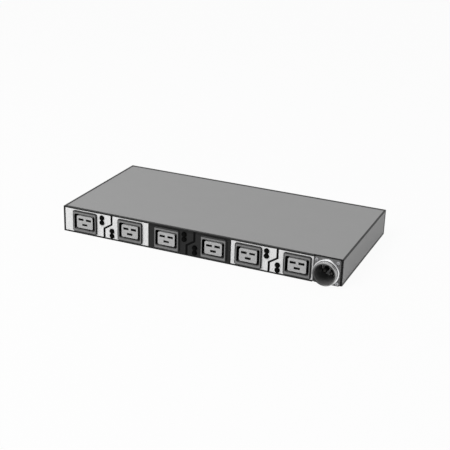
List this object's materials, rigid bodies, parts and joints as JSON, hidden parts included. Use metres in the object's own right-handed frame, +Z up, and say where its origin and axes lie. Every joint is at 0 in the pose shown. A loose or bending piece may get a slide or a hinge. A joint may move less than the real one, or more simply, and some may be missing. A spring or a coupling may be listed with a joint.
{
  "type": "rack power distribution unit",
  "caption": "Flat rack power distribution unit with wide socket outlets, reset buttons between them and a round metal supply coupling at the front right.",
  "frame": {"origin": "middle of the chassis underside", "axes": "+X along the front from left to right, +Y from the outlet side to the rear, +Z up"},
  "size_m": [0.447, 0.2311, 0.041],
  "materials": {
    "chassis_paint": "fine satin powder coat",
    "label_white": "matt polycarbonate film",
    "label_black": "matt polycarbonate film",
    "print_black": "matt ink",
    "frame_grey": "moulded thermoplastic",
    "core_grey": "moulded thermoplastic",
    "contact_brass": "rolled, bright",
    "busbar_copper": "tin-free copper strip",
    "breaker_black": "moulded thermoset",
    "button_black": "moulded, slight gloss",
    "shell_metal": "die cast, turned and nickel plated",
    "insert_black": "moulded thermoset",
    "gasket_rubber": "flat sheet",
    "fastener_steel": "zinc plated",
    "lead_black": "soft sleeve",
    "sheet_insulation": "stiff insulating sheet"
  },
  "bodies": {
    "chassis": {"breaker_case_1": "breaker_black", "breaker_case_2": "breaker_black", "breaker_case_3": "breaker_black", "breaker_case_4": "breaker_black", "breaker_case_5": "breaker_black", "breaker_case_6": "breaker_black", "breaker_tabs": "contact_brass", "chassis_tray": "chassis_paint", "cover_nuts": "fastener_steel", "cover_screws": "fastener_steel", "divider_print": "print_black", "earth_busbar": "busbar_copper", "earth_nut": "fastener_steel", "earth_stud": "fastener_steel", "inlet_gasket": "gasket_rubber", "inlet_insert": "insert_black", "inlet_nuts": "fastener_steel", "inlet_pins": "contact_brass", "inlet_screws": "fastener_steel", "inlet_shell": "shell_metal", "input_leads": "lead_black", "insulating_sheet": "sheet_insulation", "label_left": "label_white", "label_middle": "label_black", "label_right": "label_white", "line_busbar_1": "busbar_copper", "line_busbar_2": "busbar_copper", "load_leads": "lead_black", "outlet_contacts_1": "contact_brass", "outlet_contacts_2": "contact_brass", "outlet_contacts_3": "contact_brass", "outlet_contacts_4": "contact_brass", "outlet_contacts_5": "contact_brass", "outlet_contacts_6": "contact_brass", "outlet_core_1": "core_grey", "outlet_core_2": "core_grey", "outlet_core_3": "core_grey", "outlet_core_4": "core_grey", "outlet_core_5": "core_grey", "outlet_core_6": "core_grey", "outlet_frame_1": "frame_grey", "outlet_frame_2": "frame_grey", "outlet_frame_3": "frame_grey", "outlet_frame_4": "frame_grey", "outlet_frame_5": "frame_grey", "outlet_frame_6": "frame_grey", "top_cover": "chassis_paint"},
    "button_1a": {"reset_button_1a": "button_black"},
    "button_1b": {"reset_button_1b": "button_black"},
    "button_2a": {"reset_button_2a": "button_black"},
    "button_2b": {"reset_button_2b": "button_black"},
    "button_3a": {"reset_button_3a": "button_black"},
    "button_3b": {"reset_button_3b": "button_black"},
    "button_4a": {"reset_button_4a": "button_black"},
    "button_4b": {"reset_button_4b": "button_black"},
    "button_5a": {"reset_button_5a": "button_black"},
    "button_5b": {"reset_button_5b": "button_black"},
    "button_6a": {"reset_button_6a": "button_black"},
    "button_6b": {"reset_button_6b": "button_black"}
  },
  "joints": [
    {"name": "reset_1a", "type": "slide", "parent": "chassis", "child": "button_1a", "axis": [0, -1, 0], "range_m": [0, 0.0026]},
    {"name": "reset_1b", "type": "slide", "parent": "chassis", "child": "button_1b", "axis": [0, -1, 0], "range_m": [0, 0.0026]},
    {"name": "reset_2a", "type": "slide", "parent": "chassis", "child": "button_2a", "axis": [0, -1, 0], "range_m": [0, 0.0026]},
    {"name": "reset_2b", "type": "slide", "parent": "chassis", "child": "button_2b", "axis": [0, -1, 0], "range_m": [0, 0.0026]},
    {"name": "reset_3a", "type": "slide", "parent": "chassis", "child": "button_3a", "axis": [0, -1, 0], "range_m": [0, 0.0026]},
    {"name": "reset_3b", "type": "slide", "parent": "chassis", "child": "button_3b", "axis": [0, -1, 0], "range_m": [0, 0.0026]},
    {"name": "reset_4a", "type": "slide", "parent": "chassis", "child": "button_4a", "axis": [0, -1, 0], "range_m": [0, 0.0026]},
    {"name": "reset_4b", "type": "slide", "parent": "chassis", "child": "button_4b", "axis": [0, -1, 0], "range_m": [0, 0.0026]},
    {"name": "reset_5a", "type": "slide", "parent": "chassis", "child": "button_5a", "axis": [0, -1, 0], "range_m": [0, 0.0026]},
    {"name": "reset_5b", "type": "slide", "parent": "chassis", "child": "button_5b", "axis": [0, -1, 0], "range_m": [0, 0.0026]},
    {"name": "reset_6a", "type": "slide", "parent": "chassis", "child": "button_6a", "axis": [0, -1, 0], "range_m": [0, 0.0026]},
    {"name": "reset_6b", "type": "slide", "parent": "chassis", "child": "button_6b", "axis": [0, -1, 0], "range_m": [0, 0.0026]}
  ]
}
